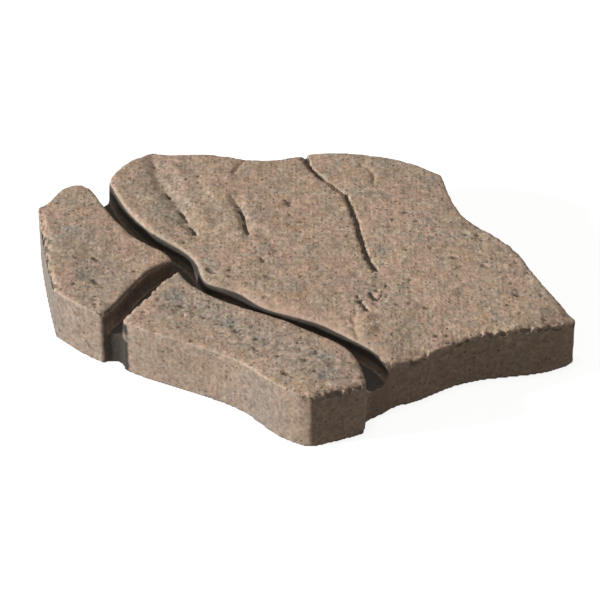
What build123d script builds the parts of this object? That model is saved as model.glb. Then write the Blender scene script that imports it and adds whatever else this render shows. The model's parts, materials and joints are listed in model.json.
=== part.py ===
from build123d import *
from math import ceil, cos, exp, radians, sin, tan
import os

# Concrete paving slab, cast in one piece to look like three riven flagstones.
# Two false joints part the stones, and a web under the joints holds them together.
# Millimetres, +Z up. The slab lies on its flat bedding face at Z = 0, and the origin is
# on that face, under the centre of the outline's box.

# Driving dimensions
THICKNESS = 60.0  # bedding face to the mean level of the riven face
JOINT_DEPTH = 25.0  # floor of the false joints, below the mean level
JOINT_DRAFT = 5.0  # lean of the false joints' walls, in degrees
SHOULDER = 3.5  # bevel along a false joint, as wide as it is deep
CORNER_RADIUS = 5.0  # upright corners of the outline
ARRIS_RADIUS = 2.0  # edge between the riven face and the sides
CLEFT_DEPTH = 6.0  # floor of the natural cracks, below the mean level
CLEFT_DRAFT = 8.0  # lean of the cracks' walls, in degrees
RELIEF_STEP = 20.0  # spacing of the points that shape the riven face
RELIEF_ROOM = 8.0  # height above the mean level that no swell reaches

# Outline in plan, clockwise from above, one list for each natural edge.
# An edge ends where the next one starts.
LEFT_STONE_BACK = [(-271, 110), (-254, 133), (-240, 150)]
BACK_JOINT_MOUTH = [(-226, 152), (-213, 144)]
MAIN_STONE_LEFT = [(-201, 154), (-195, 172), (-179, 197)]
MAIN_STONE_BACK = [(-156, 215), (-126, 210), (-93, 209), (-40, 198), (10, 210), (50, 212), (108, 198)]
MAIN_STONE_RIGHT = [(152, 170), (162, 120), (172, 92), (215, 42), (236, -3)]
MAIN_STONE_FRONT = [(277, -78), (232, -100), (190, -107), (152, -120), (118, -142)]
RIGHT_JOINT_MOUTH = [(97, -150), (82, -163)]
FRONT_STONE_SIDE = [(67, -174)]
FRONT_STONE_END = [(64, -193), (38, -205)]
FRONT_STONE_FRONT = [(12, -214), (-26, -190), (-52, -161), (-90, -136), (-136, -113)]
LEFT_JOINT_MOUTH = [(-172, -92), (-179, -79)]
LEFT_STONE_FRONT = [(-195, -80), (-222, -59)]
LEFT_STONE_SIDE = [(-245, -35), (-255, 12), (-264, 62)]
OUTLINE = (
    LEFT_STONE_BACK,
    BACK_JOINT_MOUTH,
    MAIN_STONE_LEFT,
    MAIN_STONE_BACK,
    MAIN_STONE_RIGHT,
    MAIN_STONE_FRONT,
    RIGHT_JOINT_MOUTH,
    FRONT_STONE_SIDE,
    FRONT_STONE_END,
    FRONT_STONE_FRONT,
    LEFT_JOINT_MOUTH,
    LEFT_STONE_FRONT,
    LEFT_STONE_SIDE,
)

# False joints and natural cracks: centre in plan, and width of the floor
LONG_JOINT = [
    (-217, 172, 22.5),
    (-200, 133, 14),
    (-177, 87, 13),
    (-150, 53, 12),
    (-126, 31, 11),
    (-112, 5, 15),
    (-97, -26, 8),
    (-70, -44, 15),
    (-42, -65, 7),
    (-12, -81, 6),
    (18, -98, 11),
    (46, -120, 9),
    (66, -143, 16),
    (76, -165, 22),
    (84, -190, 26),
]
CROSS_JOINT = [
    (-112, 12, 13),
    (-135, -2, 15),
    (-154, -30, 16),
    (-172, -64, 13),
    (-186, -88, 16),
    (-196, -108, 19),
]
LONG_CLEFT = [
    (6, 225, 2.0),
    (10, 188, 2.0),
    (20, 169, 1.5),
    (48, 132, 0.8),
    (54, 111, 1.2),
    (60, 81, 1.8),
    (64, 52, 2.0),
    (68, 28, 2.0),
    (72, 10, 1.5),
    (79, -4, 0.8),
]
SHORT_CLEFT = [
    (-71, 132, 0.8),
    (-64, 111, 1.5),
    (-57, 92, 1.8),
    (-55, 74, 1.5),
    (-50, 52, 0.8),
]

# Broad swells and hollows of the riven face: centre, bearing of the long axis in degrees,
# half length, half width and height
SWELLS = [
    (135, -128, 35, 70, 30, -5.0),
    (108, -152, 0, 25, 25, -4.0),
    (277, -80, 0, 28, 28, -8.0),
    (5, -180, 55, 60, 40, 3.0),
    (-125, 135, -72, 90, 22, -3.0),
    (-80, 130, -72, 90, 35, 2.5),
    (110, 90, -60, 90, 50, 2.0),
    (-215, 60, 20, 60, 25, 2.0),
    (-190, 0, 30, 70, 25, -2.0),
]


def outline_face():
    """Plan of the slab as one face."""
    edges = []
    for edge, following in zip(OUTLINE, OUTLINE[1:] + OUTLINE[:1]):
        edges.append(Spline(*edge, following[0]))
    return make_face(edges)


def channel(stations, levels):
    """Cutter along stations of (x, y, width), widened on both sides at each (height, widening) level."""
    path = Spline(*[(x, y) for x, y, _ in stations])
    sections = []
    for height, widening in levels:
        sides = []
        for hand in (1, -1):
            points = []
            for x, y, width in stations:
                along = path.tangent_at(path.param_at_point((x, y)))
                reach = hand * (width / 2 + widening)
                points.append((x - along.Y * reach, y + along.X * reach, height))
            sides.append(Spline(*points))
        ends = [Line(sides[0] @ u, sides[1] @ u) for u in (0, 1)]
        sections.append(make_face(sides + ends))
    return loft(sections, ruled=True)


def joint_cutter(stations):
    """Cutter for a false joint: a drafted slot under a bevelled shoulder."""
    floor = THICKNESS - JOINT_DEPTH
    shoulder = THICKNESS - SHOULDER
    top = THICKNESS + RELIEF_ROOM
    lean = (shoulder - floor) * tan(radians(JOINT_DRAFT))
    return channel(stations, [(floor, 0), (shoulder, lean), (top, lean + top - shoulder)])


def cleft_cutter(stations):
    """Cutter for a natural crack in the riven face."""
    floor = THICKNESS - CLEFT_DEPTH
    top = THICKNESS + RELIEF_ROOM
    lean = (top - floor) * tan(radians(CLEFT_DRAFT))
    return channel(stations, [(floor, 0), (top, lean)])


def face_height(x, y):
    """Height of the riven face over a point of the plan."""
    height = THICKNESS
    for centre_x, centre_y, bearing, half_length, half_width, rise in SWELLS:
        turn = radians(bearing)
        along = (x - centre_x) * cos(turn) + (y - centre_y) * sin(turn)
        across = (y - centre_y) * cos(turn) - (x - centre_x) * sin(turn)
        height += rise * exp(-((along / half_length) ** 2) - (across / half_width) ** 2)
    return height


def above_riven_face(box):
    """Cutter that takes away everything above the riven face."""
    columns = ceil(box.size.X / RELIEF_STEP) + 2
    rows = ceil(box.size.Y / RELIEF_STEP) + 2
    grid = []
    for row in range(rows + 1):
        y = box.min.Y + (row - 1) * RELIEF_STEP
        line = []
        for column in range(columns + 1):
            x = box.min.X + (column - 1) * RELIEF_STEP
            line.append((x, y, face_height(x, y)))
        grid.append(line)
    surface = Face.make_surface_from_array_of_points(grid)
    return extrude(surface, 4 * RELIEF_ROOM, dir=(0, 0, 1))


# The slab's body, with its corners rounded and its top riven. The riven face is the highest
# face until the joints part it, so its edges are the arris.
slab = extrude(outline_face(), THICKNESS + RELIEF_ROOM)
slab = fillet(slab.edges().filter_by(Axis.Z), CORNER_RADIUS)
slab -= above_riven_face(slab.bounding_box())
riven_face = slab.faces().sort_by(Axis.Z)[-1]
slab = fillet(riven_face.edges(), ARRIS_RADIUS)

# False joints and natural cracks
slab -= joint_cutter(LONG_JOINT)
slab -= joint_cutter(CROSS_JOINT)
slab -= cleft_cutter(LONG_CLEFT)
slab -= cleft_cutter(SHORT_CLEFT)

# Origin under the centre of the box
middle = slab.bounding_box().center()
slab = Pos(-middle.X, -middle.Y) * slab

os.makedirs("parts", exist_ok=True)
export_step(slab, "parts/paving_slab.step")
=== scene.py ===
"""Looks of a concrete paving slab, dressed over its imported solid.

The slab is one casting, so it is one piece. A fine mesh is made from its solid, a Geometry Nodes
tree breaks up the riven face and the arrises, and one procedural material gives the concrete its
sand, blotches, pits and cracks. Lengths are in metres, in the slab's own frame, and the lines of
the riven face are drawn in millimetres.
"""

from __future__ import annotations

import json
import logging
import math
from dataclasses import dataclass, field, fields
from enum import Enum
from typing import Any, Sequence, Union

import bmesh
import bpy
import numpy as np
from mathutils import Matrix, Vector

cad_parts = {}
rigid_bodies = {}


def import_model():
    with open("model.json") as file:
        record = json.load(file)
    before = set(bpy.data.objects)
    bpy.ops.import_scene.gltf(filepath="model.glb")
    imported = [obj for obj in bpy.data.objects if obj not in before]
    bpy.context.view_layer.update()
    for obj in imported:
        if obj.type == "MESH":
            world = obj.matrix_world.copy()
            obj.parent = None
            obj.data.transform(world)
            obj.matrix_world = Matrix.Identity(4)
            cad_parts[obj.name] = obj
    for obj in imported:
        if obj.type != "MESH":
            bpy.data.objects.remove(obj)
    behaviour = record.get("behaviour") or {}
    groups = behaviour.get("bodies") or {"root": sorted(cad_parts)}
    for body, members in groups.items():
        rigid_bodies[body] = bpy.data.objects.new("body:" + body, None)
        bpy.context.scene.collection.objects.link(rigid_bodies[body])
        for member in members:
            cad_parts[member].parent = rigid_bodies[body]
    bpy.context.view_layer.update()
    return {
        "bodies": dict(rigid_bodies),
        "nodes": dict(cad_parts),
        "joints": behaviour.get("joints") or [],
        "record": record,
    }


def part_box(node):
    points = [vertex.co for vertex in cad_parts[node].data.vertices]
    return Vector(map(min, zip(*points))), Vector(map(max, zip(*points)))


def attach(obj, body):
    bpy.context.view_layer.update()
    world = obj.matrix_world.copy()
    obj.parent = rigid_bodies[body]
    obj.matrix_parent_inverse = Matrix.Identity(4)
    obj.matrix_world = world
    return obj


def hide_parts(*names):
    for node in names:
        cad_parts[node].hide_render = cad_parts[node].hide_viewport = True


LOG = logging.getLogger("paving_slab")
MM = 0.001

Colour = tuple[float, float, float]
Range = tuple[float, float]
PlanLine = tuple[tuple[float, float], ...]
Socket = bpy.types.NodeSocket
Value = Union[float, str, Sequence[float], Socket]

NOISE_MEAN = 0.5
WHITE = (1.0, 1.0, 1.0, 1.0)


class Graph:
    """Adds nodes to one node tree and links their sockets.

    Attributes:
        ROW_LENGTH: Count of nodes in one row of the tree's drawing.
        STEP: Room for one node in that drawing.
    """

    ROW_LENGTH = 20
    STEP = (200.0, 320.0)

    def __init__(self, tree: bpy.types.NodeTree) -> None:
        """Take the tree that the nodes go into."""
        self.tree = tree

    def node(
        self, kind: str, inputs: dict[Union[str, int], Value] | None = None, **settings: Any
    ) -> bpy.types.Node:
        """Add one node.

        Args:
            kind: Blender's name for the node's type.
            inputs: Values or sockets for the node's inputs, by name or by place.
            settings: Properties of the node, set before its inputs.

        Returns:
            The new node.
        """
        made = self.tree.nodes.new(kind)
        row, column = divmod(len(self.tree.nodes), self.ROW_LENGTH)
        made.location = (self.STEP[0] * column, -self.STEP[1] * row)
        for name, value in settings.items():
            setattr(made, name, value)
        for key, value in (inputs or {}).items():
            if isinstance(value, Socket):
                self.tree.links.new(value, made.inputs[key])
            else:
                made.inputs[key].default_value = value
        return made

    def math(self, operation: str, *values: Value) -> Socket:
        """Return the result of a Math node."""
        return self.node("ShaderNodeMath", dict(enumerate(values)), operation=operation).outputs[0]

    def total(self, *values: Value) -> Socket:
        """Return the sum of the values."""
        result = values[0]
        for value in values[1:]:
            result = self.math("ADD", result, value)
        return result

    def product(self, *values: Value) -> Socket:
        """Return the product of the values."""
        result = values[0]
        for value in values[1:]:
            result = self.math("MULTIPLY", result, value)
        return result

    def rest(self, share: Socket) -> Socket:
        """Return what a share leaves of 1."""
        return self.math("SUBTRACT", 1.0, share)

    def vector(self, operation: str, *values: Value) -> Socket:
        """Return the vector that a Vector Math node puts out."""
        node = self.node("ShaderNodeVectorMath", dict(enumerate(values)), operation=operation)
        return node.outputs["Vector"]

    def dot(self, first: Value, second: Value) -> Socket:
        """Return the dot product of two vectors."""
        inputs = {0: first, 1: second}
        return self.node("ShaderNodeVectorMath", inputs, operation="DOT_PRODUCT").outputs["Value"]

    def scaled(self, vector: Socket, factor: Value) -> Socket:
        """Return a vector times a number."""
        inputs = {0: vector, "Scale": factor}
        return self.node("ShaderNodeVectorMath", inputs, operation="SCALE").outputs["Vector"]

    def axis(self, vector: Socket, name: str) -> Socket:
        """Return one part of a vector, X, Y or Z."""
        return self.node("ShaderNodeSeparateXYZ", {"Vector": vector}).outputs[name]

    def ramp(
        self, value: Value, start: Value, end: Value, low: Value = 0.0, high: Value = 1.0
    ) -> Socket:
        """Ease a value from one level to another.

        Args:
            value: What is eased.
            start: Value at which the result is low.
            end: Value at which the result is high. It may be under start.
            low: Result at and before start.
            high: Result at and after end.

        Returns:
            The eased result.
        """
        inputs = {"Value": value, "From Min": start, "From Max": end, "To Min": low, "To Max": high}
        node = self.node("ShaderNodeMapRange", inputs, interpolation_type="SMOOTHSTEP")
        return node.outputs["Result"]

    def inverse(self, size: Value) -> Value:
        """Return the texture scale at which one feature has the size."""
        return self.math("DIVIDE", 1.0, size) if isinstance(size, Socket) else 1.0 / size

    def noise(
        self,
        place: Socket,
        size: Value,
        seed: Value,
        detail: Value = 2.0,
        roughness: float = 0.5,
        output: str = "Fac",
    ) -> Socket:
        """Add smooth noise over space.

        Args:
            place: Position that the noise is read at.
            size: Length of one wave.
            seed: Number that picks the pattern.
            detail: Count of finer waves on top of the first.
            roughness: Strength of those finer waves.
            output: Name of the output, Fac for a number or Color for three.

        Returns:
            Noise about 0.5.
        """
        inputs = {
            "Vector": place,
            "W": seed,
            "Scale": self.inverse(size),
            "Detail": detail,
            "Roughness": roughness,
        }
        return self.node("ShaderNodeTexNoise", inputs, noise_dimensions="4D").outputs[output]

    def shaken(
        self,
        place: Socket,
        size: Value,
        seed: Value,
        amount: Value,
        detail: Value,
        roughness: float = 0.5,
    ) -> Socket:
        """Move a place about by noise.

        Args:
            place: Position that is moved.
            size: Length of one wave of the noise.
            seed: Number that picks the pattern.
            amount: How far the noise moves the place.
            detail: Count of finer waves on top of the first.
            roughness: Strength of those finer waves.

        Returns:
            The moved position.
        """
        shake = self.noise(place, size, seed, detail, roughness, "Color")
        shake = self.scaled(self.vector("SUBTRACT", shake, (NOISE_MEAN,) * 3), amount)
        return self.vector("ADD", place, shake)

    def cells(self, place: Socket, size: Value, dimensions: str = "3D") -> tuple[Socket, Socket]:
        """Scatter points over space, one to a cell.

        Args:
            place: Position that the pattern is read at.
            size: Spacing of the points.
            dimensions: 2D for a plan, or 3D.

        Returns:
            Distance to the nearest point in spacings, and that point's random colour.
        """
        inputs = {"Vector": place, "Scale": self.inverse(size)}
        node = self.node("ShaderNodeTexVoronoi", inputs, voronoi_dimensions=dimensions)
        return node.outputs["Distance"], node.outputs["Color"]

    def blend(self, factor: Value, first: Value, second: Value, mode: str = "MIX") -> Socket:
        """Mix two colours.

        Args:
            factor: Share of the second colour.
            first: Colour at factor 0.
            second: Colour at factor 1.
            mode: Blend mode of the Mix node.

        Returns:
            The mixed colour.
        """
        inputs = {0: factor, 6: first, 7: second}
        node = self.node("ShaderNodeMix", inputs, data_type="RGBA", blend_type=mode)
        return node.outputs[2]


class LineKind(Enum):
    """What a line drawn on the riven face stands for."""

    CLEFT = "Cleft"
    CRACK = "Crack"
    DENT = "Dent"
    VALLEY = "Valley"
    RIDGE = "Ridge"
    HOLLOW = "Hollow"
    SLOPE = "Slope"
    STAIN = "Stain"
    ROUGH = "Rough"
    CRUMBLE = "Crumble"
    CHIP = "Chip"
    FILL = "Fill"
    JOINT = "Joint"


@dataclass(frozen=True)
class LineStyle:
    """How the edge of a line runs: soft and even, or steep and ragged.

    Attributes:
        flat: Share of the half width that is at full depth.
        ragged: Share by which the half width comes and goes.
        wander: Share of the relief's wobble that the line takes.
        spread: Length of that wobble's waves, as a share of the relief's.
        detail: Count of finer waves in the edge.
    """

    flat: float = 0.0
    ragged: float = 0.3
    wander: float = 1.0
    spread: float = 1.0
    detail: float = 1.0


# Side the key lamp shines from, which places the painted highlight and the joints' painted shade, side
# whose faces get painted shade, and how far a face looks at them
KEY_LAMP_SIDE = (-0.98, -0.17, 0.0)
PAINTED_SHADE_SIDE = (-1.0, 0.0, 0.0)
NEAR_OUTLOOK: Range = (0.1, 0.7)
END_OUTLOOK: Range = (-0.4, 0.1)
BEVEL_OUTLOOK: Range = (-0.2, -0.45)
ARRIS_HIGHLIGHT_OUTLOOK: Range = (0.05, 0.4)
PAINTED_SHADE_OUTLOOK: Range = (0.5, 0.95)

# Upright part of the normal on the riven face, the joints' floors and their bevels
FACE_LEAN: Range = (0.4, 0.75)
FLOOR_LEAN: Range = (0.3, 0.8)
BEVEL_LEAN: Range = (0.92, 0.75)

# Levels of noise or of a mask over which a form comes in
NOISE_SPAN: Range = (0.3, 0.7)
BITE_SPAN: Range = (0.45, 0.62)
CHIP_SPAN: Range = (0.4, 0.7)
CLEFT_SPAN: Range = (0.4, 1.0)

# Rounds of blurring, and the gain that takes share times rest to 1 at its peak
LEVEL_BLUR = 3
RIVEN_BLUR = 2
VERGE_BLUR = 10
EDGE_GAIN = 4.0

# What sets the noise patterns apart
LINE_SEED_STEP = 3.0
LINE_ROUGHNESS = 0.6
WAVE_ROUGHNESS = 0.55
SEED_SHIFTS = {
    "Swell": 11.0,
    "Riven": 16.0,
    "Grain": 21.0,
    "Side": 31.0,
    "Arris": 41.0,
    "Broken": 51.0,
    "Bite": 61.0,
}

SOFT_LINE = LineStyle()
LINE_STYLES: dict[LineKind, LineStyle] = {
    LineKind.CLEFT: LineStyle(flat=0.35, ragged=0.6, wander=0.7, spread=0.55, detail=3.0),
    LineKind.CRACK: LineStyle(flat=0.3, ragged=0.85, wander=1.1, spread=0.6, detail=3.0),
    LineKind.DENT: LineStyle(flat=0.2, ragged=0.65, detail=4.0),
    LineKind.FILL: LineStyle(flat=0.7, ragged=0.2, wander=0.5),
    LineKind.CHIP: LineStyle(flat=0.3, ragged=0.4, wander=1.2, spread=0.7, detail=2.0),
    LineKind.JOINT: LineStyle(flat=0.85, ragged=0.05, wander=0.0),
}


# Lines on the riven face, in plan and in millimetres
FACE_LINES: dict[LineKind, tuple[PlanLine, ...]] = {
    LineKind.CLEFT: (
        (
            (4, 222),
            (8, 188),
            (18, 169),
            (46, 132),
            (52, 111),
            (58, 81),
            (62, 52),
            (66, 28),
            (70, 10),
            (77, -4),
        ),
    ),
    LineKind.CRACK: (
        ((-66, 111), (-59, 92), (-57, 74), (-54, 60)),
        ((-141, 138), (-136, 131)),
        ((-124, 102), (-117, 85)),
        ((-112, 73), (-107, 60)),
        ((56, -46), (60, -59), (66, -74)),
        ((70, -43), (73, -49), (76, -56), (80, -47)),
    ),
    LineKind.DENT: (
        ((-270, 102), (-265, 80), (-260, 62), (-254, 42)),
        ((-257, 7), (-249, -12), (-244, -32)),
        ((-58, 199), (-65, 186), (-70, 172)),
        ((64, 188), (74, 178), (78, 166), (76, 152)),
        ((55, -78), (52, -89), (53, -102), (57, -116)),
    ),
    LineKind.VALLEY: (
        ((-158, 201), (-154, 178), (-144, 146), (-134, 125), (-125, 107), (-119, 85), (-108, 63)),
        ((-66, 125), (-59, 92), (-52, 58)),
    ),
    LineKind.RIDGE: (
        ((-245, 42), (-228, 59), (-216, 68), (-196, 74), (-183, 68)),
        ((-132, 185), (-122, 150), (-112, 118), (-98, 82)),
        ((64, -86), (65, -104)),
    ),
    LineKind.HOLLOW: (
        ((-17, 122), (-11, 111)),
        ((-39, 15), (-37, 12)),
        ((-35, -13), (-33, -15)),
        ((-92, -1), (-87, -8)),
        ((185, 3), (188, 1)),
        ((215, -46), (218, -48)),
        ((123, -67), (126, -68)),
        ((155, 17), (158, 15)),
        ((-119, -64), (-116, -66)),
        ((-44, -138), (-41, -140)),
        ((-64, -106), (-61, -108)),
        ((-15, -178), (-12, -179)),
        ((-201, -77), (-196, -79)),
        ((-209, 18), (-206, 15)),
        ((-208, -18), (-204, -24)),
    ),
    LineKind.SLOPE: (
        ((-66, -36), (-41, -60), (-11, -76), (21, -91), (49, -115), (73, -137), (87, -160)),
    ),
    LineKind.STAIN: (
        ((-235, 60), (-215, 20), (-195, -20), (-190, -50)),
        ((-120, -50), (-80, -80), (-40, -112), (0, -145), (25, -180)),
        ((-152, 182), (-140, 140), (-125, 100)),
    ),
    LineKind.ROUGH: (
        ((-118, -62), (-80, -85), (-40, -118), (0, -150), (30, -175)),
        ((70, -42), (84, -52)),
        ((189, 63), (212, 33), (230, -1)),
    ),
    LineKind.CRUMBLE: (
        ((270, -82), (228, -98), (186, -106), (148, -120), (114, -142), (92, -158)),
        ((66, -178), (60, -196), (32, -206), (12, -212)),
        ((-268, 92), (-258, 30), (-248, -30)),
        ((-166, -72), (-152, -44), (-136, -18)),
    ),
    LineKind.CHIP: (
        ((-194, -82), (-190, -83)),
        ((-270, 66), (-266, 44)),
        ((-258, -4), (-253, -22)),
    ),
    LineKind.FILL: (
        ((-75, 138), (-66, 111), (-59, 92), (-57, 74), (-50, 46)),
        ((24, 160), (34, 148), (42, 138)),
    ),
    LineKind.JOINT: (
        (
            (-209, 143),
            (-202, 133),
            (-179, 87),
            (-152, 53),
            (-128, 31),
            (-114, 5),
            (-99, -26),
            (-72, -44),
            (-44, -65),
            (-14, -81),
            (16, -98),
            (44, -120),
            (64, -143),
            (68, -152),
            (71, -155),
        ),
        ((-114, 12), (-137, -2), (-156, -30), (-174, -64), (-180, -82)),
    ),
}


@dataclass(frozen=True)
class Spot:
    """What the relief's tree knows of a place on the slab.

    Attributes:
        graph: Tree that the nodes go into.
        given: Outputs of the tree's input node.
        place: Position on the slab.
        normal: Normal of the surface.
        height: Height over the bedding face.
        lines: Nearness to each kind of line.
    """

    graph: Graph
    given: Any
    place: Socket
    normal: Socket
    height: Socket
    lines: dict[LineKind, Socket]

    def noise(self, pattern: str, size: str, detail: float, roughness: float = 0.5) -> Socket:
        """Add the noise of one pattern.

        Args:
            pattern: Name of the pattern, which picks its seed.
            size: Name of the input that holds the length of one wave.
            detail: Count of finer waves on top of the first.
            roughness: Strength of those finer waves.

        Returns:
            Noise about 0.5.
        """
        seed = self.graph.total(self.given["Seed"], SEED_SHIFTS[pattern])
        return self.graph.noise(self.place, self.given[size], seed, detail, roughness)

    def uneven(self, level: str, rise: str) -> Socket:
        """Return a level that broken stone lifts by up to a rise, both named as inputs."""
        lifted = self.graph.product(self.noise("Broken", "Arris Size", 1.0), self.given[rise])
        return self.graph.total(self.given[level], lifted)

    def above(self, height: Socket, level: Socket) -> Socket:
        """Return how far a height is above a level, or 0 under it."""
        return self.graph.math("MAXIMUM", self.graph.math("SUBTRACT", height, level), 0.0)


@dataclass
class RivenRelief:
    """Fine relief of the slab, carved by a Geometry Nodes tree with these values as its inputs."""

    seed: float = 7.3
    swell_size: float = 70 * MM
    swell_height: float = 3.0 * MM
    riven_size: float = 26 * MM
    riven_height: float = 3.2 * MM
    grain_size: float = 8 * MM
    grain_height: float = 1.2 * MM
    rough_grain: float = 1.2
    pit_spacing: float = 12 * MM
    pit_radius: float = 2.3 * MM
    pit_depth: float = 1.3 * MM
    pit_share: float = 0.1
    pit_least: float = 0.55
    pit_flat: float = 0.3
    rough_pits: float = 0.5
    top_start: float = 44 * MM
    top_end: float = 50 * MM
    bed_start: float = 0.5 * MM
    bed_end: float = 6 * MM
    side_size: float = 16 * MM
    side_loss: float = 1.2 * MM
    arris_size: float = 9 * MM
    arris_loss: float = 1.0 * MM
    crumble_size: float = 7 * MM
    crumble_loss: float = 6.0 * MM
    cleft_floor: float = 54.5 * MM
    chip_floor: float = 51 * MM
    chip_slope: float = 10 * MM
    fill_level: float = 54 * MM
    fill_rise: float = 8 * MM
    # Shares of painted shade in the packed clefts and in the cracks
    fill_dark: float = 0.25
    crack_dark: float = 0.8
    # Heights and weights of the painted shade in the joints, which stands in for their shadow
    dirt_start: float = 57.2 * MM
    dirt_end: float = 56.2 * MM
    deep_start: float = 49 * MM
    deep_end: float = 41 * MM
    web_start: float = 37 * MM
    web_end: float = 35 * MM
    grime_far: float = 0.6
    grime_deep: float = 0.55
    grime_end_far: float = 0.2
    grime_end_near: float = 0.85
    grime_bevel: float = 0.75
    level_start: float = 0.1 * MM
    level_end: float = 0.4 * MM
    crack_depth: float = 2.4 * MM
    dent_depth: float = 1.4 * MM
    valley_depth: float = 1.8 * MM
    ridge_height: float = 2.0 * MM
    hollow_depth: float = 2.0 * MM
    slope_depth: float = 2.2 * MM
    cleft_width: float = 3.4 * MM
    crack_width: float = 2.3 * MM
    dent_width: float = 3.0 * MM
    valley_width: float = 10 * MM
    ridge_width: float = 14 * MM
    hollow_width: float = 3.3 * MM
    slope_width: float = 17 * MM
    stain_width: float = 44 * MM
    rough_width: float = 38 * MM
    crumble_width: float = 22 * MM
    chip_width: float = 9 * MM
    fill_width: float = 7 * MM
    joint_width: float = 17 * MM
    wobble: float = 5 * MM
    wobble_size: float = 14 * MM

    def sizes(self) -> dict[str, float]:
        """Return each value under the name of the tree's input for it."""
        return {
            item.name.replace("_", " ").title(): getattr(self, item.name) for item in fields(self)
        }

    def line_mask(self) -> bpy.types.NodeTree:
        """Build the group that tells how near a place is to a set of lines.

        Returns:
            A group whose Mask is 1 on the lines and 0 away from them.
        """
        tree = bpy.data.node_groups.new("line_mask", "GeometryNodeTree")
        sockets = tree.interface
        sockets.new_socket("Lines", in_out="INPUT", socket_type="NodeSocketObject")
        sockets.new_socket("Place", in_out="INPUT", socket_type="NodeSocketVector")
        for name in ("Half Width", "Wobble", "Wobble Size", "Seed", "Flat", "Ragged", "Detail"):
            sockets.new_socket(name, in_out="INPUT", socket_type="NodeSocketFloat")
        sockets.new_socket("Mask", in_out="OUTPUT", socket_type="NodeSocketFloat")
        graph = Graph(tree)
        given = graph.node("NodeGroupInput").outputs
        drawn = graph.node("GeometryNodeObjectInfo", {"Object": given["Lines"]}).outputs["Geometry"]
        wire = graph.node("GeometryNodeCurveToMesh", {"Curve": drawn}).outputs["Mesh"]
        place, size, seed, detail = (given[name] for name in ("Place", "Wobble Size", "Seed", "Detail"))
        moved = graph.shaken(place, size, seed, given["Wobble"], detail, LINE_ROUGHNESS)
        flat = graph.vector("MULTIPLY", moved, (1.0, 1.0, 0.0))
        near = graph.node(
            "GeometryNodeProximity", {"Geometry": wire, "Sample Position": flat}, target_element="EDGES"
        ).outputs["Distance"]
        wear_and_highlight = graph.noise(place, size, seed, detail, LINE_ROUGHNESS)
        wear_and_highlight = graph.product(graph.ramp(wear_and_highlight, *NOISE_SPAN, -1.0, 1.0), given["Ragged"])
        reach = graph.product(given["Half Width"], graph.total(1.0, wear_and_highlight))
        mask = graph.ramp(near, graph.product(reach, given["Flat"]), reach, 1.0, 0.0)
        graph.node("NodeGroupOutput", {"Mask": mask})
        return tree

    def line_masks(self, graph: Graph, given: Any, place: Socket) -> dict[LineKind, Socket]:
        """Measure how near a place is to the lines of each kind.

        Args:
            graph: Tree that the nodes go into.
            given: Outputs of the tree's input node.
            place: Position on the slab.

        Returns:
            A mask for each kind, 1 on its lines and 0 away from them.
        """
        group = self.line_mask()
        masks: dict[LineKind, Socket] = {}
        for number, kind in enumerate(LineKind):
            style = LINE_STYLES.get(kind, SOFT_LINE)
            inputs = {
                "Lines": given[f"{kind.value} Lines"],
                "Place": place,
                "Half Width": given[f"{kind.value} Width"],
                "Wobble": graph.product(given["Wobble"], style.wander),
                "Wobble Size": graph.product(given["Wobble Size"], style.spread),
                "Seed": graph.total(given["Seed"], LINE_SEED_STEP * number),
                "Flat": style.flat,
                "Ragged": style.ragged,
                "Detail": style.detail,
            }
            masks[kind] = graph.node("GeometryNodeGroup", inputs, node_tree=group).outputs["Mask"]
        return masks

    def declare(self, tree: bpy.types.NodeTree) -> None:
        """Give the tree its sockets.

        Args:
            tree: The new tree, which gets one input for each value and each kind of line.
        """
        sockets = tree.interface
        sockets.new_socket("Geometry", in_out="OUTPUT", socket_type="NodeSocketGeometry")
        sockets.new_socket("Geometry", in_out="INPUT", socket_type="NodeSocketGeometry")
        for name in self.sizes():
            sockets.new_socket(name, in_out="INPUT", socket_type="NodeSocketFloat")
        for kind in LineKind:
            sockets.new_socket(f"{kind.value} Lines", in_out="INPUT", socket_type="NodeSocketObject")
        sockets.new_socket("Material", in_out="INPUT", socket_type="NodeSocketMaterial")

    def tree(self) -> bpy.types.NodeTree:
        """Build the tree that carves the relief and notes where it lies.

        Returns:
            A Geometry Nodes tree that stores the masks of the material and moves the points.
        """
        tree = bpy.data.node_groups.new("riven_relief", "GeometryNodeTree")
        self.declare(tree)
        graph = Graph(tree)
        given = graph.node("NodeGroupInput").outputs
        place = graph.node("GeometryNodeInputPosition").outputs["Position"]
        normal = graph.node("GeometryNodeInputNormal").outputs["Normal"]
        lines = self.line_masks(graph, given, place)
        spot = Spot(graph, given, place, normal, graph.axis(place, "Z"), lines)

        top = graph.ramp(spot.height, given["Top Start"], given["Top End"])
        face = graph.product(graph.ramp(graph.axis(normal, "Z"), *FACE_LEAN), top)
        riven, broad = (
            graph.node("GeometryNodeBlurAttribute", {"Value": face, "Iterations": count}).outputs["Value"]
            for count in (RIVEN_BLUR, VERGE_BLUR)
        )
        arris, verge = (
            graph.product(EDGE_GAIN, share, graph.rest(share), top) for share in (riven, broad)
        )
        pit = self.pits(spot)
        cleft = graph.product(lines[LineKind.CLEFT], top)
        bite = graph.ramp(spot.noise("Bite", "Crumble Size", 1.0), *BITE_SPAN)
        bite = graph.product(verge, lines[LineKind.CRUMBLE], bite)
        rise = graph.total(graph.product(self.lift(spot, pit), riven), self.fill(spot, top))
        rise = graph.math("SUBTRACT", rise, self.drop(spot, cleft, bite))
        offset = graph.vector(
            "SUBTRACT",
            graph.node("ShaderNodeCombineXYZ", {"Z": rise}).outputs["Vector"],
            graph.scaled(normal, self.loss(spot, riven, arris)),
        )

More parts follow.
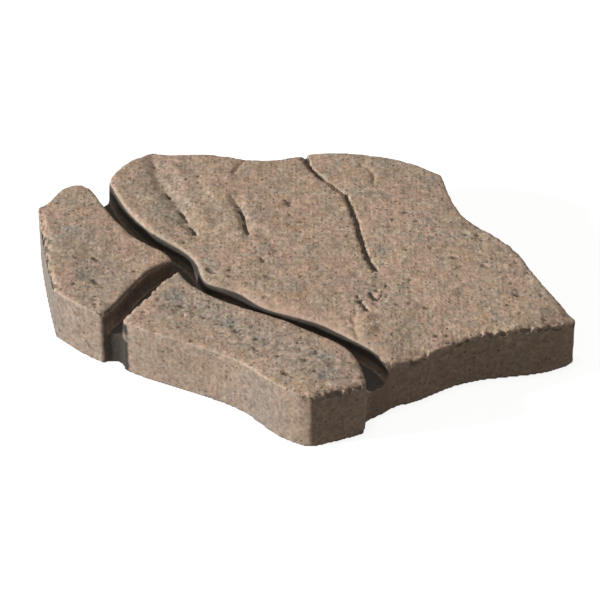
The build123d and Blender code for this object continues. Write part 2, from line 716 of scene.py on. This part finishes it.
        notes = {
            "riven": riven,
            # painted highlight: the arris is kept only where the edge faces the key lamp
            "arris": graph.product(arris, graph.ramp(graph.dot(normal, KEY_LAMP_SIDE), *ARRIS_HIGHLIGHT_OUTLOOK)),
            "pit": graph.product(graph.math("MAXIMUM", pit, lines[LineKind.HOLLOW]), riven),
            # how much painted shade the clefts and cracks get
            "crease": graph.math(
                "MAXIMUM",
                graph.product(cleft, graph.ramp(lines[LineKind.FILL], 0.0, 1.0, 1.0, given["Fill Dark"])),
                graph.product(lines[LineKind.CRACK], riven, given["Crack Dark"]),
            ),
            "rough": graph.product(lines[LineKind.ROUGH], riven),
            "stain": graph.product(lines[LineKind.STAIN], riven),
            "slope": lines[LineKind.SLOPE],
            "bite": bite,
            # painted shade on the moulded sides that face the key lamp
            "film": graph.product(
                graph.ramp(graph.dot(normal, PAINTED_SHADE_SIDE), *PAINTED_SHADE_OUTLOOK),
                graph.rest(riven),
                graph.rest(lines[LineKind.JOINT]),
            ),
            # painted shade in the joints, strongest on the walls that face the key lamp
            "joint": self.dirt(spot, face),
        }
        shape = self.even(graph, given)
        for name, value in notes.items():
            inputs = {"Geometry": shape, "Name": name, "Value": value}
            shape = graph.node("GeometryNodeStoreNamedAttribute", inputs).outputs["Geometry"]
        for kind, inputs in (
            ("GeometryNodeSetPosition", {"Offset": offset}),
            ("GeometryNodeSetShadeSmooth", {}),
            ("GeometryNodeRealizeInstances", {}),
            ("GeometryNodeSetMaterial", {"Material": given["Material"]}),
        ):
            shape = graph.node(kind, {"Geometry": shape, **inputs}).outputs["Geometry"]
        graph.node("NodeGroupOutput", {"Geometry": shape})
        return tree

    def even(self, graph: Graph, given: Any) -> Socket:
        """Take the remesher's fine steps out of the plain stretches.

        Args:
            graph: Tree that the nodes go into.
            given: Outputs of the tree's input node.

        Returns:
            The blank, with its edges as they were.
        """
        place = graph.node("GeometryNodeInputPosition").outputs["Position"]
        normal = graph.node("GeometryNodeInputNormal").outputs["Normal"]
        inputs = {"Value": place, "Iterations": LEVEL_BLUR}
        mean = graph.node(
            "GeometryNodeBlurAttribute", inputs, data_type="FLOAT_VECTOR"
        ).outputs["Value"]
        step = graph.dot(graph.vector("SUBTRACT", mean, place), normal)
        share = graph.ramp(
            graph.math("ABSOLUTE", step), given["Level Start"], given["Level End"], 1.0, 0.0
        )
        offset = graph.scaled(normal, graph.product(step, share))
        inputs = {"Geometry": given["Geometry"], "Offset": offset}
        return graph.node("GeometryNodeSetPosition", inputs).outputs["Geometry"]

    def dirt(self, spot: Spot, face: Socket) -> Socket:
        """Work out where painted shade darkens the joints, standing in for their shadow.

        Args:
            spot: The place.
            face: Mask of the riven face.

        Returns:
            A mask of painted shade that is 1 on the floor and under the shoulder of the wall that faces
            the key lamp, and less deep down, on the other wall with its shoulder and on the web's shaded
            ends.
        """
        graph, given = spot.graph, spot.given
        outlook = graph.dot(spot.normal, KEY_LAMP_SIDE)
        lean = graph.axis(spot.normal, "Z")
        under = graph.ramp(spot.height, given["Dirt Start"], given["Dirt End"])
        deep = graph.ramp(spot.height, given["Deep Start"], given["Deep End"])
        web = graph.ramp(spot.height, given["Web Start"], given["Web End"])
        inner = graph.math("MAXIMUM", graph.ramp(deep, 0.0, 1.0, 1.0, given["Grime Deep"]), web)
        end = graph.ramp(outlook, *END_OUTLOOK, given["Grime End Far"], given["Grime End Near"])
        far = graph.ramp(web, 0.0, 1.0, given["Grime Far"], end)
        wall = graph.product(graph.ramp(outlook, *NEAR_OUTLOOK, far, 1.0), inner)
        wall = graph.math("MAXIMUM", wall, graph.ramp(lean, *FLOOR_LEAN))
        wall = graph.product(wall, under, graph.rest(face))
        # painted shade on the shoulders that face away from the key lamp
        bevel = graph.product(
            graph.ramp(outlook, *BEVEL_OUTLOOK),
            graph.ramp(lean, *BEVEL_LEAN),
            graph.rest(under),
            given["Grime Bevel"],
        )
        return graph.product(spot.lines[LineKind.JOINT], graph.math("MAXIMUM", wall, bevel))

    def pits(self, spot: Spot) -> Socket:
        """Scatter round pits over the plan.

        Args:
            spot: The place.

        Returns:
            A mask that is 1 at the bottom of a pit.
        """
        graph, given = spot.graph, spot.given
        moved = graph.shaken(spot.place, given["Grain Size"], given["Seed"], given["Wobble"], 1.0)
        distance, colour = graph.cells(moved, given["Pit Spacing"], "2D")
        more = graph.product(spot.lines[LineKind.ROUGH], given["Rough Pits"])
        share = graph.total(given["Pit Share"], more)
        radius = graph.product(
            graph.math("DIVIDE", given["Pit Radius"], given["Pit Spacing"]),
            graph.total(given["Pit Least"], graph.axis(colour, "Y")),
        )
        bowl = graph.ramp(distance, graph.product(radius, given["Pit Flat"]), radius, 1.0, 0.0)
        return graph.product(bowl, graph.math("LESS_THAN", graph.axis(colour, "X"), share))

    def lift(self, spot: Spot, pit: Socket) -> Socket:
        """Work out how far the riven face rises or sinks.

        Args:
            spot: The place.
            pit: Mask of the pits.

        Returns:
            Height above the solid's own face.
        """
        graph, given, lines = spot.graph, spot.given, spot.lines
        coarse = graph.total(1.0, graph.product(lines[LineKind.ROUGH], given["Rough Grain"]))
        parts = []
        for name, detail, gain in (("Swell", 1.0, 1.0), ("Riven", 2.0, 1.0), ("Grain", 0.0, coarse)):
            wave = spot.noise(name, f"{name} Size", detail, WAVE_ROUGHNESS)
            wave = graph.math("SUBTRACT", wave, NOISE_MEAN)
            parts.append(graph.product(wave, given[f"{name} Height"], gain))
        parts.append(graph.product(lines[LineKind.RIDGE], given["Ridge Height"]))
        for kind in (LineKind.CRACK, LineKind.DENT, LineKind.VALLEY, LineKind.HOLLOW, LineKind.SLOPE):
            parts.append(graph.product(lines[kind], given[f"{kind.value} Depth"], -1.0))
        parts.append(graph.product(pit, given["Pit Depth"], -1.0))
        return graph.total(*parts)

    def fill(self, spot: Spot, top: Socket) -> Socket:
        """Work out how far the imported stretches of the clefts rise.

        Args:
            spot: The place.
            top: Mask of what is high up.

        Returns:
            Height of the packing, and 0 where there is none.
        """
        packed = spot.uneven("Fill Level", "Fill Rise")
        return spot.graph.product(spot.lines[LineKind.FILL], top, spot.above(packed, spot.height))

    def drop(self, spot: Spot, cleft: Socket, bite: Socket) -> Socket:
        """Work out how far the clefts, the chips and the crumbled edges sink.

        Args:
            spot: The place.
            cleft: Mask of the clefts.
            bite: Mask of the bites out of the crumbled edges.

        Returns:
            Depth of the loss, straight down.
        """
        graph, given = spot.graph, spot.given
        ledge = spot.uneven("Chip Floor", "Chip Slope")
        sunk = graph.math(
            "MAXIMUM",
            graph.product(graph.ramp(cleft, *CLEFT_SPAN), spot.above(spot.height, given["Cleft Floor"])),
            graph.product(spot.lines[LineKind.CHIP], spot.above(spot.height, ledge)),
        )
        return graph.total(sunk, graph.product(bite, given["Crumble Loss"]))

    def loss(self, spot: Spot, riven: Socket, arris: Socket) -> Socket:
        """Work out how much of the sides and the arrises is worn off.

        Args:
            spot: The place.
            riven: Mask of the riven face.
            arris: Mask of the arrises.

        Returns:
            Depth of the loss, along the normal.
        """
        graph, given = spot.graph, spot.given
        bed = graph.ramp(spot.height, given["Bed Start"], given["Bed End"])
        rub = spot.noise("Side", "Side Size", 1.0)
        side = graph.product(graph.rest(riven), bed, rub, given["Side Loss"])
        chip = graph.ramp(spot.noise("Arris", "Arris Size", 1.5, LINE_ROUGHNESS), *CHIP_SPAN)
        return graph.total(side, graph.product(arris, chip, given["Arris Loss"]))

    def draw_lines(self, kind: LineKind) -> bpy.types.Object:
        """Draw the lines of one kind at the level of the bedding face.

        Args:
            kind: Which lines are drawn.

        Returns:
            A curve object with one straight-sided spline to a line.
        """
        curve = bpy.data.curves.new(f"{kind.value.lower()}_lines", "CURVE")
        curve.dimensions = "3D"
        for line in FACE_LINES[kind]:
            spline = curve.splines.new("POLY")
            spline.points.add(len(line) - 1)
            for point, (x, y) in zip(spline.points, line):
                point.co = (x * MM, y * MM, 0.0, 1.0)
        drawn = bpy.data.objects.new(curve.name, curve)
        bpy.context.scene.collection.objects.link(drawn)
        return drawn

    def carve(self, blank: bpy.types.Object, material: bpy.types.Material) -> bpy.types.Mesh:
        """Carve the relief into a blank.

        Args:
            blank: Object with the slab's plain shape. Its modifiers come before the relief.
            material: Material that the carved mesh gets.

        Returns:
            The carved mesh, with the masks as attributes of its points.
        """
        lines = {kind: self.draw_lines(kind) for kind in LineKind}
        values: dict[str, Any] = dict(self.sizes())
        values.update({f"{kind.value} Lines": drawn for kind, drawn in lines.items()})
        values["Material"] = material
        modifier = blank.modifiers.new("relief", "NODES")
        modifier.node_group = self.tree()
        for item in modifier.node_group.interface.items_tree:
            if item.in_out == "INPUT" and item.name in values:
                modifier[item.identifier] = values[item.name]
        depsgraph = bpy.context.evaluated_depsgraph_get()
        carved = bpy.data.meshes.new_from_object(blank.evaluated_get(depsgraph), depsgraph=depsgraph)
        blank.modifiers.clear()
        for drawn in lines.values():
            bpy.data.curves.remove(drawn.data)
        return carved


@dataclass(frozen=True)
class ConcreteFinish:
    """Riven concrete: sand-coloured, blotched, gritty and matt."""

    name: str = "riven_concrete"
    tan: Colour = (0.37, 0.275, 0.195)
    pink: Colour = (0.42, 0.285, 0.21)
    ochre: Colour = (0.40, 0.275, 0.165)
    grey: Colour = (0.245, 0.23, 0.197)
    rust: Colour = (0.48, 0.295, 0.21)
    chalk: Colour = (0.50, 0.41, 0.33)
    slate: Colour = (0.225, 0.215, 0.195)
    olive: Colour = (0.29, 0.25, 0.16)
    # painted shade colour of the sides that face the key lamp
    algae: Colour = (0.22, 0.19, 0.165)
    # dark grains, and the painted shade in the pits, cracks, bites and pinholes
    dark: Colour = (0.045, 0.038, 0.032)
    # painted shade colour of the joints
    grime: Colour = (0.05, 0.042, 0.035)
    cast: Colour = (0.36, 0.28, 0.22)
    cloud_size: float = 55 * MM
    stain_size: float = 30 * MM
    blotch_size: float = 11 * MM
    fleck_size: float = 7 * MM
    sand_size: float = 4.2 * MM
    grit_size: float = 4.5 * MM
    pinhole_spacing: float = 8 * MM
    cloud_span: Range = (0.4, 0.62)
    ochre_span: Range = (0.52, 0.68)
    grey_span: Range = (0.52, 0.7)
    fleck_span: Range = (0.52, 0.66)
    sand_span: Range = (0.28, 0.72)
    grain_span: Range = (0.45, 0.15)
    pinhole_radius: Range = (0.08, 0.2)
    blotch_gain: Range = (0.88, 1.14)
    sand_gain: Range = (0.76, 1.26)
    roughness: Range = (0.84, 0.97)
    bump_distance: float = 1.0 * MM
    specular: float = 0.25
    seed: float = 3.7
    mask_names: tuple[str, ...] = (
        "riven",
        "arris",
        "pit",
        "crease",
        "rough",
        "stain",
        "slope",
        "bite",
        "film",
        "joint",
    )

    def material(self) -> bpy.types.Material:
        """Build the material.

        Returns:
            A procedural material that reads Object coordinates and the relief's masks.
        """
        made = bpy.data.materials.new(self.name)
        made.use_nodes = True
        made.node_tree.nodes.clear()
        graph = Graph(made.node_tree)
        place = graph.node("ShaderNodeTexCoord").outputs["Object"]
        masks = {
            name: graph.node("ShaderNodeAttribute", attribute_name=name).outputs["Fac"]
            for name in self.mask_names
        }
        sand = graph.noise(place, self.sand_size, self.seed + 1.0, 1.5, 0.6)
        moved = graph.shaken(place, self.grit_size, self.seed, self.grit_size, 2.0)
        grit, grit_colour = graph.cells(moved, self.grit_size)
        grain = graph.ramp(grit, *self.grain_span)
        pick = graph.axis(grit_colour, "X")
        colour = self.stains(graph, place, masks)
        colour = self.specks(graph, colour, place, sand, grain, pick, masks)
        colour = self.hollows(graph, colour, sand, masks)
        hole = self.pinholes(graph, place, masks)
        # painted shade: the pinholes are darkened
        colour = graph.blend(graph.product(hole, 0.8), colour, (*self.dark, 1.0))
        height = graph.total(
            graph.product(hole, -1.0),
            graph.product(sand, 0.8),
            graph.product(grain, graph.ramp(pick, 0.0, 1.0, -0.5, 0.5)),
            graph.product(graph.noise(place, self.blotch_size * 0.5, self.seed + 2.0, 3.0), 0.8),
        )
        strength = graph.ramp(masks["riven"], 0.0, 1.0, 0.45, 0.8)
        bump = graph.node(
            "ShaderNodeBump", {"Strength": strength, "Distance": self.bump_distance, "Height": height}
        ).outputs["Normal"]
        shader = graph.node(
            "ShaderNodeBsdfPrincipled",
            {
                "Base Color": colour,
                "Roughness": graph.ramp(sand, *NOISE_SPAN, *self.roughness),
                "Specular IOR Level": self.specular,
                "Normal": bump,
            },
        )
        graph.node("ShaderNodeOutputMaterial", {"Surface": shader.outputs["BSDF"]})
        return made

    def stains(self, graph: Graph, place: Socket, masks: dict[str, Socket]) -> Socket:
        """Blend the broad colours of the casting, and paint shade on the sides that face the key lamp.

        Args:
            graph: Tree that the nodes go into.
            place: Object coordinates.
            masks: The relief's masks.

        Returns:
            The broad colour.
        """
        cloud = graph.noise(place, self.cloud_size, self.seed, 4.0, 0.6)
        colour = graph.blend(graph.ramp(cloud, *self.cloud_span), (*self.tan, 1.0), (*self.pink, 1.0))
        rust = graph.noise(place, self.stain_size, self.seed + 3.0, 4.0, 0.6)
        colour = graph.blend(
            graph.product(graph.ramp(rust, *self.ochre_span), 0.7), colour, (*self.ochre, 1.0)
        )
        film = graph.noise(place, self.stain_size, self.seed + 4.0, 5.0, 0.62)
        amount = graph.total(
            graph.product(graph.ramp(film, *self.grey_span), 0.7),
            graph.product(masks["stain"], 0.28),
            graph.product(masks["rough"], 0.27),
        )
        colour = graph.blend(amount, colour, (*self.grey, 1.0))
        for shift, shade, amount in (
            (6.0, self.rust, 0.5),
            (7.0, self.slate, 0.4),
            (8.0, self.chalk, 0.5),
            (9.0, self.olive, 0.5),
        ):
            fleck = graph.noise(place, self.fleck_size, self.seed + shift, 2.0, 0.6)
            colour = graph.blend(
                graph.product(graph.ramp(fleck, *self.fleck_span), amount), colour, (*shade, 1.0)
            )
        moulded = graph.ramp(masks["riven"], 0.0, 1.0, 0.45, 0.0)
        colour = graph.blend(moulded, colour, (*self.cast, 1.0))
        # painted shade on the moulded sides that face the key lamp
        return graph.blend(graph.product(masks["film"], 0.9), colour, (*self.algae, 1.0))

    def specks(
        self,
        graph: Graph,
        colour: Socket,
        place: Socket,
        sand: Socket,
        grain: Socket,
        pick: Socket,
        masks: dict[str, Socket],
    ) -> Socket:
        """Vary the colour by blotches, sand and single grains.

        Args:
            graph: Tree that the nodes go into.
            colour: Broad colour.
            place: Object coordinates.
            sand: Noise of the sand.
            grain: Mask of the single grains.
            pick: Random number of each grain.
            masks: The relief's masks.

        Returns:
            The speckled colour.
        """
        blotch = graph.noise(place, self.blotch_size, self.seed + 5.0, 4.0, 0.6)
        value = graph.product(
            graph.ramp(blotch, *NOISE_SPAN, *self.blotch_gain),
            graph.ramp(sand, *self.sand_span, *self.sand_gain),
        )
        calm = self.calm(graph, masks)
        value = graph.math("MULTIPLY_ADD", graph.math("SUBTRACT", value, 1.0), calm, 1.0)
        tint = graph.node("ShaderNodeCombineXYZ", {"X": value, "Y": value, "Z": value})
        colour = graph.blend(1.0, colour, tint.outputs["Vector"], "MULTIPLY")
        for low, high, shade, amount in (
            (0.0, 0.13, self.dark, 0.5),
            (0.13, 0.33, self.slate, 0.5),
            (0.33, 0.55, self.rust, 0.45),
            (0.55, 0.72, self.chalk, 0.5),
        ):
            chosen = graph.product(
                graph.math("GREATER_THAN", pick, low), graph.math("LESS_THAN", pick, high), grain
            )
            colour = graph.blend(graph.product(chosen, calm, amount), colour, (*shade, 1.0))
        return colour

    def pinholes(self, graph: Graph, place: Socket, masks: dict[str, Socket]) -> Socket:
        """Scatter the small holes that air leaves in the casting.

        Args:
            graph: Tree that the nodes go into.
            place: Object coordinates.
            masks: The relief's masks.

        Returns:
            A mask that is 1 in a hole.
        """
        moved = graph.shaken(place, self.sand_size, self.seed + 9.0, self.sand_size, 2.0)
        distance, colour = graph.cells(moved, self.pinhole_spacing)
        radius = graph.ramp(graph.axis(colour, "Y"), 0.0, 1.0, *self.pinhole_radius)
        share = graph.total(0.45, graph.product(masks["rough"], 0.4))
        hole = graph.ramp(distance, graph.product(radius, 0.5), radius, 1.0, 0.0)
        return graph.product(hole, graph.math("LESS_THAN", graph.axis(colour, "X"), share))

    def calm(self, graph: Graph, masks: dict[str, Socket]) -> Socket:
        """Return how strongly the colour varies: less on the moulded sides, more on the rough face."""
        face = graph.total(
            graph.ramp(masks["riven"], 0.0, 1.0, 0.95, 1.0), graph.product(masks["rough"], 0.2)
        )
        return graph.product(face, graph.ramp(masks["slope"], 0.0, 1.0, 1.0, 0.65))

    def hollows(
        self, graph: Graph, colour: Socket, sand: Socket, masks: dict[str, Socket]
    ) -> Socket:
        """Darken the pits, cracks, bites and joints with painted shade, and lighten the arris with a
        painted highlight.

        Args:
            graph: Tree that the nodes go into.
            colour: Speckled colour.
            sand: Noise of the sand, which frays the edges.
            masks: The relief's masks.

        Returns:
            The finished colour.
        """
        rim = graph.product(sand, 0.5)
        pit, crease, bite = (
            graph.ramp(masks[name], rim, graph.total(rim, 0.2)) for name in ("pit", "crease", "bite")
        )
        # painted shade in the pits, cracks and crumbled bites
        dirt = graph.math("MAXIMUM", graph.product(pit, 0.5), graph.product(crease, 0.75))
        dirt = graph.math("MAXIMUM", dirt, graph.product(bite, 0.7))
        colour = graph.blend(dirt, colour, (*self.dark, 1.0))
        # the sloped band is tinted pinker and lighter: partly its own hue, partly a painted highlight
        colour = graph.blend(graph.product(masks["slope"], 0.35), colour, (*self.pink, 1.0))
        # painted highlight on the arrises that face the key lamp
        wear_and_highlight = graph.ramp(masks["arris"], 0.45, 0.9, 0.0, 0.5)
        colour = graph.blend(wear_and_highlight, colour, (*self.chalk, 1.0))
        # painted shade in the joints
        return graph.blend(masks["joint"], colour, (*self.grime, 1.0))


@dataclass
class PavingSlab:
    """The slab, one casting: three riven stones on one web."""

    name: str = "riven_slab"
    node: str = "paving_slab"
    body: str = "root"
    slot: str = "concrete"
    voxel: float = 1.8 * MM
    weld: float = 0.001 * MM
    bed_level: float = 0.3 * MM
    relief: RivenRelief = field(default_factory=RivenRelief)
    finish: ConcreteFinish = field(default_factory=ConcreteFinish)

    def build(self, frame: dict[str, Any]) -> bpy.types.Object:
        """Build the slab, dress it and set it on its body.


        Returns:
            The finished piece.
        """
        piece = self.blank(frame["nodes"][self.node])
        carved = self.relief.carve(piece, self.finish.material())
        plain, piece.data = piece.data, carved
        bpy.data.meshes.remove(plain)
        carved.name = self.name
        self.keep_in_box(carved)
        self.flatten_bed(carved)
        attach(piece, self.body)
        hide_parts(self.node)
        carved.calc_loop_triangles()
        LOG.info("%s: %d triangles", piece.name, len(carved.loop_triangles))
        return piece

    def blank(self, solid: bpy.types.Object) -> bpy.types.Object:
        """Copy the solid and give the copy an even mesh.

        Args:
            solid: The slab's node in the frame.

        Returns:
            A new object, with the remeshing as a live modifier.
        """
        mesh = solid.data.copy()
        mesh.materials.clear()
        shape = bmesh.new()
        shape.from_mesh(mesh)
        bmesh.ops.remove_doubles(shape, verts=shape.verts, dist=self.weld)
        shape.to_mesh(mesh)
        shape.free()
        copy = bpy.data.objects.new(self.name, mesh)
        bpy.context.scene.collection.objects.link(copy)
        remesh = copy.modifiers.new("even_mesh", "REMESH")
        remesh.mode = "VOXEL"
        remesh.voxel_size = self.voxel
        return copy

    def keep_in_box(self, mesh: bpy.types.Mesh) -> None:
        """Hold every point inside the solid's box.

        Args:
            mesh: The carved mesh, changed in place.
        """
        low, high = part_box(self.node)
        points = np.empty(len(mesh.vertices) * 3, dtype=np.float32)
        mesh.vertices.foreach_get("co", points)
        points = np.clip(points.reshape(-1, 3), np.array(low), np.array(high))
        points[points[:, 2] < self.bed_level, 2] = low.z
        mesh.vertices.foreach_set("co", points.astype(np.float32).ravel())
        mesh.update()

    def flatten_bed(self, mesh: bpy.types.Mesh) -> None:
        """Make the bedding face of few triangles.

        Args:
            mesh: The carved mesh, changed in place.
        """
        shape = bmesh.new()
        shape.from_mesh(mesh)
        bed = [
            face for face in shape.faces if all(vert.co.z < self.bed_level for vert in face.verts)
        ]
        joined = bmesh.ops.dissolve_faces(shape, faces=bed)["region"]
        for face in joined:
            face.smooth = False
        bmesh.ops.triangulate(shape, faces=joined)
        shape.to_mesh(mesh)
        shape.free()
        mesh.update()


@dataclass(frozen=True)
class Lamp:
    """One far lamp.

    Attributes:
        name: What the lamp is called.
        side: Where it stands, seen from above.
        elevation: How high it stands, in degrees.
        strength: Light on a face that looks at it, in watts a square metre.
        angle: How wide it looks, in degrees.
    """

    name: str
    side: tuple[float, float]
    elevation: float
    strength: float
    angle: float

    def hang(self) -> None:
        """Add the lamp to the scene."""
        light = bpy.data.lights.new(self.name, "SUN")
        light.energy = self.strength
        light.angle = math.radians(self.angle)
        rise = math.tan(math.radians(self.elevation)) * math.hypot(*self.side)
        lamp = bpy.data.objects.new(self.name, light)
        lamp.rotation_euler = Vector((*self.side, rise)).to_track_quat("Z", "Y").to_euler()
        bpy.context.scene.collection.objects.link(lamp)


@dataclass
class Studio:
    """Pale floor, soft light and the camera."""

    target: tuple[float, float, float] = (-0.2 * MM, -14.4 * MM, 30 * MM)
    distance: float = 3.0
    elevation: float = 36.0
    lens: float = 178.0
    clip_end: float = 100.0
    floor_size: float = 12.0
    floor_drop: float = 0.5 * MM
    floor_albedo: float = 0.2
    floor_shown: float = 0.3
    floor_glow: float = 0.84
    sky: float = 0.2
    sky_tint: Colour = (1.0, 0.93, 0.87)
    lamps: tuple[Lamp, ...] = (
        Lamp("key", (-0.985, -0.17), 18.0, 4.08, 6.0),
        Lamp("top", (-0.985, -0.17), 85.0, 0.94, 20.0),
    )

    def build(self) -> None:
        """Set the stage."""
        scene = bpy.context.scene
        scene.view_settings.view_transform = "Standard"
        scene.world = self.world()
        self.add_floor()
        for lamp in self.lamps:
            lamp.hang()
        scene.camera = self.add_camera()

    def shown(self, graph: Graph) -> Socket:
        """Return 1 on rays that show the background and 0 on rays that light the slab."""
        path = graph.node("ShaderNodeLightPath").outputs
        mirror = graph.math("MAXIMUM", path["Is Glossy Ray"], path["Is Transmission Ray"])
        return graph.math("MAXIMUM", path["Is Camera Ray"], mirror)

    def world(self) -> bpy.types.World:
        """Build the sky.

        Returns:
            A world that is white to the camera and a soft grey to the slab.
        """
        world = bpy.data.worlds.new("studio_sky")
        world.use_nodes = True
        world.node_tree.nodes.clear()
        graph = Graph(world.node_tree)
        inputs = {"Color": (*self.sky_tint, 1.0), "Strength": self.sky}
        light = graph.node("ShaderNodeBackground", inputs)
        white = graph.node("ShaderNodeBackground", {"Color": WHITE, "Strength": 1.0})
        inputs = {0: self.shown(graph), 1: light.outputs[0], 2: white.outputs[0]}
        mixed = graph.node("ShaderNodeMixShader", inputs)
        graph.node("ShaderNodeOutputWorld", {"Surface": mixed.outputs[0]})
        return world

    def add_floor(self) -> None:
        """Lay the floor, which keeps the slab's shadow."""
        mesh = bpy.data.meshes.new("studio_floor")
        shape = bmesh.new()
        bmesh.ops.create_grid(shape, x_segments=1, y_segments=1, size=self.floor_size / 2)
        bmesh.ops.translate(shape, verts=shape.verts, vec=(0.0, 0.0, -self.floor_drop))
        shape.to_mesh(mesh)
        shape.free()
        material = bpy.data.materials.new("pale_floor")
        material.use_nodes = True
        material.node_tree.nodes.clear()
        graph = Graph(material.node_tree)
        glow = graph.node("ShaderNodeEmission", {"Color": WHITE, "Strength": self.floor_glow})
        shade = graph.node("ShaderNodeBsdfDiffuse", {"Color": (*[self.floor_shown] * 3, 1.0)})
        seen = graph.node("ShaderNodeAddShader", {0: glow.outputs[0], 1: shade.outputs[0]})
        plain = graph.node("ShaderNodeBsdfDiffuse", {"Color": (*[self.floor_albedo] * 3, 1.0)})
        inputs = {0: self.shown(graph), 1: plain.outputs[0], 2: seen.outputs[0]}
        mixed = graph.node("ShaderNodeMixShader", inputs)
        graph.node("ShaderNodeOutputMaterial", {"Surface": mixed.outputs[0]})
        mesh.materials.append(material)
        floor = bpy.data.objects.new("studio_floor", mesh)
        bpy.context.scene.collection.objects.link(floor)

    def add_camera(self) -> bpy.types.Object:
        """Set up the camera.

        Returns:
            A camera that looks along +Y and down.
        """
        data = bpy.data.cameras.new("camera")
        data.lens = self.lens
        data.clip_end = self.clip_end
        camera = bpy.data.objects.new("camera", data)
        angle = math.radians(self.elevation)
        back = Vector((0.0, -math.cos(angle), math.sin(angle)))
        camera.location = Vector(self.target) + self.distance * back
        camera.rotation_euler = (math.pi / 2 - angle, 0.0, 0.0)
        bpy.context.scene.collection.objects.link(camera)
        return camera


def main() -> None:
    """Build the slab and its studio, and report each piece."""
    logging.basicConfig(level=logging.INFO, format="%(name)s: %(message)s")
    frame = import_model()
    piece = PavingSlab().build(frame)
    Studio().build()
    LOG.info("studio is set")


if __name__ == "__main__":
    main()
